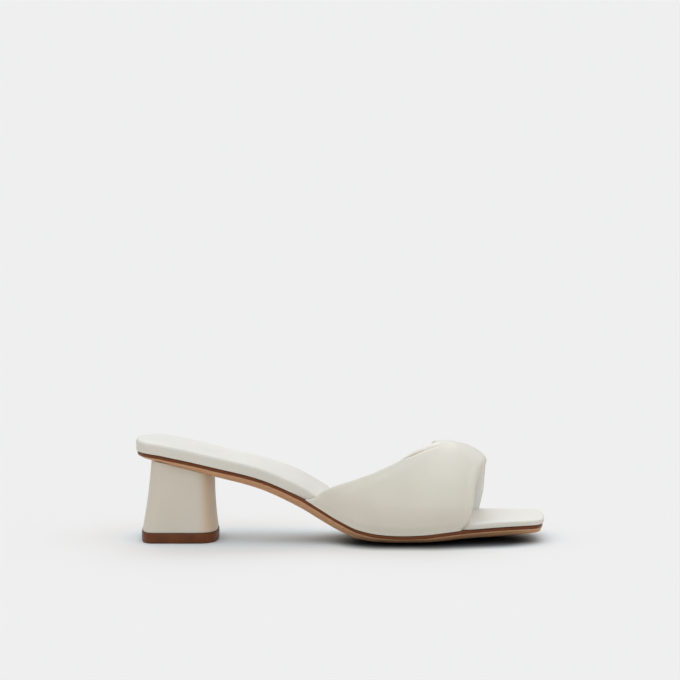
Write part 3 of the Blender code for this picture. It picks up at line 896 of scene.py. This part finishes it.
def soften(grid):
    """The grid's values evened out with their neighbours: rows end, columns go round."""
    for _ in range(SIM_EVENED):
        padded = np.concatenate([grid[:1], grid, grid[-1:]])
        grid = (padded[:-2] + 2 * padded[1:-1] + padded[2:]) / 4
        grid = (np.roll(grid, 1, axis=1) + 2 * grid + np.roll(grid, -1, axis=1)) / 4
    return grid


def band_faces(high, wide):
    """Faces of a closed band: high rings of wide points and a strip of faces over each end."""
    faces = []
    for row in range(high - 1):
        for k in range(wide):
            here, beside = row * wide + k, row * wide + (k + 1) % wide
            faces.append((here, beside, beside + wide, here + wide))
    for first in (0, (high - 1) * wide):
        for k in range(1, wide // 2 - 1):
            faces.append((first + k, first + k + 1, first + wide - k - 1, first + wide - k))
        faces.append((first + wide // 2 - 1, first + wide // 2, first + wide // 2 + 1))
        faces.append((first, first + 1, first + wide - 1))
    return faces


def blown_up(points, grip):
    """The closed band's points after a cloth simulation under pressure. grip is 1 where it is held."""
    high, wide = grip.shape
    mesh = bpy.data.meshes.new("padding")
    mesh.from_pydata((points.reshape(-1, 3) * SIM_SCALE).tolist(), [], band_faces(high, wide))
    face_outwards(mesh)
    pad = placed("padding", mesh)
    group = pad.vertex_groups.new(name="held")
    for index, weight in enumerate(grip.ravel()):
        if weight > 0.01:
            group.add([index], float(weight), "REPLACE")
    cloth = pad.modifiers.new("cloth", "CLOTH")
    cloth.settings.quality = SIM_QUALITY
    cloth.settings.mass = SIM_MASS
    cloth.settings.use_pressure = True
    cloth.settings.uniform_pressure_force = SIM_PRESSURE
    cloth.settings.vertex_group_mass = "held"
    cloth.settings.effector_weights.gravity = 0.0
    cloth.point_cache.frame_start = 1
    cloth.point_cache.frame_end = SIM_FRAMES
    for number in range(1, SIM_FRAMES + 1):
        bpy.context.scene.frame_set(number)
    solved = pad.evaluated_get(bpy.context.evaluated_depsgraph_get())
    after = np.array([vertex.co for vertex in solved.data.vertices]).reshape(high, wide, 3) / SIM_SCALE
    bpy.data.objects.remove(pad)
    bpy.context.scene.frame_set(1)
    return after


def puffed(rings, slim, held):
    """How far the padding's pressure moves each point of the band from its drawn place."""
    rows = np.unique(np.append(np.arange(0, len(rings), SIM_ROW_STEP), len(rings) - 1))
    columns = np.arange(0, rings.shape[1], SIM_COLUMN_STEP)
    coarse = np.ix_(rows, columns)
    drawn = rings[coarse]
    move = blown_up(drawn - slim[coarse], held[coarse]) - drawn
    far = np.linalg.norm(move, axis=-1, keepdims=True)
    move = soften(move * (np.minimum(far, SIM_CAP) / np.maximum(far, 1e-9)))
    at_rows = np.interp(np.arange(len(rings)), rows, np.arange(len(rows)))
    move = blend_along(move, at_rows, False)
    at_columns = np.arange(rings.shape[1]) / SIM_COLUMN_STEP
    return blend_along(np.swapaxes(move, 0, 1), at_columns, True).swapaxes(0, 1)


def band_ring(wrap):
    """One loop of the band at a wrap, out over its outer face and back along its inner one.

    It gives the points, which of them are lining, how far the padding starts inside them, and how firmly each
    is held.
    """
    back = LENGTH * back_rim(wrap)
    width = LENGTH * front_rim(wrap) - back
    length = band_lengths(wrap, width)
    x = back + length
    at = np.full_like(x, wrap)
    rim = np.minimum(length, width - length)
    from_sole = min(wrap, 1 - wrap)
    rounding = np.sqrt(np.clip(1 - (1 - np.minimum(rim / RIM_ROLL, 1.0)) ** 2, 0.0, 1.0))
    padded = RIM_WALL + (PADDED_WALL - RIM_WALL) * ramp(rim / PILLOW_WIDTH)
    wall = LASTED_WALL + (padded - LASTED_WALL) * ramp(from_sole / LASTED_WRAP)
    normal = last_normal(x, at)
    middle = last_point(x, at) + normal * (wall / 2)[:, None]
    share = length / width
    lift = (crossing(at, share, width) - folds(at, share, width)) * rounding
    outer = middle + normal * (wall / 2 * rounding + lift)[:, None]
    inner = middle - normal * (wall / 2 * rounding)[:, None]
    inward = normal * (SIM_SLIM * rounding * ramp(from_sole / SIM_HELD_WRAP))[:, None]
    grip = np.maximum(1 - ramp(rim / SIM_HELD_RIM), 1 - ramp((from_sole - UPRIGHT_WRAP) / SIM_HELD_WRAP))
    returning = slice(-2, 0, -1)
    points = np.concatenate([outer, inner[returning]])
    lined = np.concatenate([np.zeros(len(rim), bool), (rim > LINING_INSET)[returning]])
    slim = np.concatenate([inward, -inward[returning]])
    held = np.concatenate([grip, grip[returning]])
    return points, lined, slim, held


def make_upper():
    """The padded band, lined on its inner face and blown up a little by the simulation."""
    edge_rows = np.array([0.0, 0.005, 0.010, 0.015, 0.022])
    main_rows = np.linspace(UPRIGHT_WRAP, 1 - UPRIGHT_WRAP, UPPER_ROWS)
    wraps = np.concatenate([edge_rows, main_rows, 1 - edge_rows[::-1]])
    rings, lined, slim, held = (np.array(rows) for rows in zip(*[band_ring(wrap) for wrap in wraps]))
    count = rings.shape[1]
    rings = rings + puffed(rings, slim, held)

    def zones(row, k):
        if row < 0:
            return 0
        return int(lined[row][k] and lined[row][(k + 1) % count])

    piece = skin("upper_band", rings, [upper_leather, lining_leather], zones)
    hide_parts("upper")
    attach(piece, "root")
    return piece


def make_floor():
    """A pale floor that runs out of the picture on all sides, with a painted contact shadow under the forefoot
    and cooler paper painted under the shoe against the sole's warm bounce light.
    """
    mesh = bpy.data.meshes.new("floor")
    corners = [(x * FLOOR_REACH, y * FLOOR_REACH, 0.0) for x, y in ((-1, -1), (1, -1), (1, 1), (-1, 1))]
    mesh.from_pydata(corners, [], [(0, 1, 2, 3)])
    floor = placed("floor", mesh)
    n = Nodes("floor_paper")
    paper = n.mix(n.noise(0.05, 2.0), *PAPER_COLOURS)
    # Painted light: cooler paper under the shoe cancels the sole's warm bounce light in the shade there
    cooled = n.soft_span(n.line_distance(*COOLED_LINE), COOLED_NEAR, COOLED_FAR, COOLED_SHARE, 0.0)
    paper = n.mix(cooled, paper, COOLED_COLOUR)
    # Painted shadow: the floor's colour darkens towards near black along the forefoot's lines
    nearest = n.smaller(*[n.line_distance(*line) for line in CONTACT_LINES])
    shade = n.soft_span(nearest, CONTACT_NEAR, CONTACT_FAR, CONTACT_SHADE, 0.0)
    n.link(n.mix(shade, paper, PAINTED_SHADOW_COLOUR), "Base Color")
    n.fixed(Metallic=0.0, Roughness=1.0, Specular_IOR_Level=0.0)
    mesh.materials.append(n.material)
    floor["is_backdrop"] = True


def lamp(name, strength, angle, tip, colour, only=None):
    """A distant soft lamp, tipped from straight overhead. only is the collection that it lights."""
    data = bpy.data.lights.new(name, "SUN")
    data.energy = strength
    data.angle = math.radians(angle)
    data.color = colour
    holder = placed(name, data)
    holder.rotation_euler = (math.radians(tip), 0.0, 0.0)
    if only:
        holder.light_linking.receiver_collection = only


def make_light(pieces):
    """A bright overhead sky, a soft lamp from behind, and a cool fill that reaches the shoe alone."""
    world = bpy.data.worlds.new("studio")
    bpy.context.scene.world = world
    world.use_nodes = True
    tree = world.node_tree
    background = tree.nodes["Background"]
    place = tree.nodes.new("ShaderNodeTexCoord")
    split = tree.nodes.new("ShaderNodeSeparateXYZ")
    span = tree.nodes.new("ShaderNodeMapRange")
    for key, value in {"From Min": 0.0, "From Max": 1.0, "To Min": SKY_LOW, "To Max": SKY_HIGH}.items():
        span.inputs[key].default_value = value
    tree.links.new(place.outputs["Generated"], split.inputs[0])
    tree.links.new(split.outputs["Z"], span.inputs["Value"])
    tree.links.new(span.outputs["Result"], background.inputs["Strength"])
    background.inputs["Color"].default_value = (*SKY_COLOUR, 1.0)
    lit = bpy.data.collections.new("shoe_lit")
    bpy.context.scene.collection.children.link(lit)
    for piece in pieces:
        lit.objects.link(piece)
    lamp("back", *BACK_LAMP)
    lamp("front_fill", *FRONT_FILL, lit)


def make_camera():
    """The photo's view, from the outer side."""
    data = bpy.data.cameras.new("camera")
    data.sensor_width = 36
    data.lens = CAMERA_LENS
    data.clip_end = 200
    camera = placed("camera", data)
    camera.location = CAMERA_PLACE
    camera.rotation_euler = (math.radians(90 - CAMERA_DOWN), 0.0, 0.0)
    bpy.context.scene.camera = camera


bpy.context.scene.view_settings.view_transform = "Standard"
make_camera()
make_floor()
make_light([make_outsole(), make_footbed(), make_heel(), make_top_lift(), make_upper()])

visual_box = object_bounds()
boxes = {"cad": cad_box, "visual": visual_box}
{name: [list(corner) for corner in box] for name, box in boxes.items()}
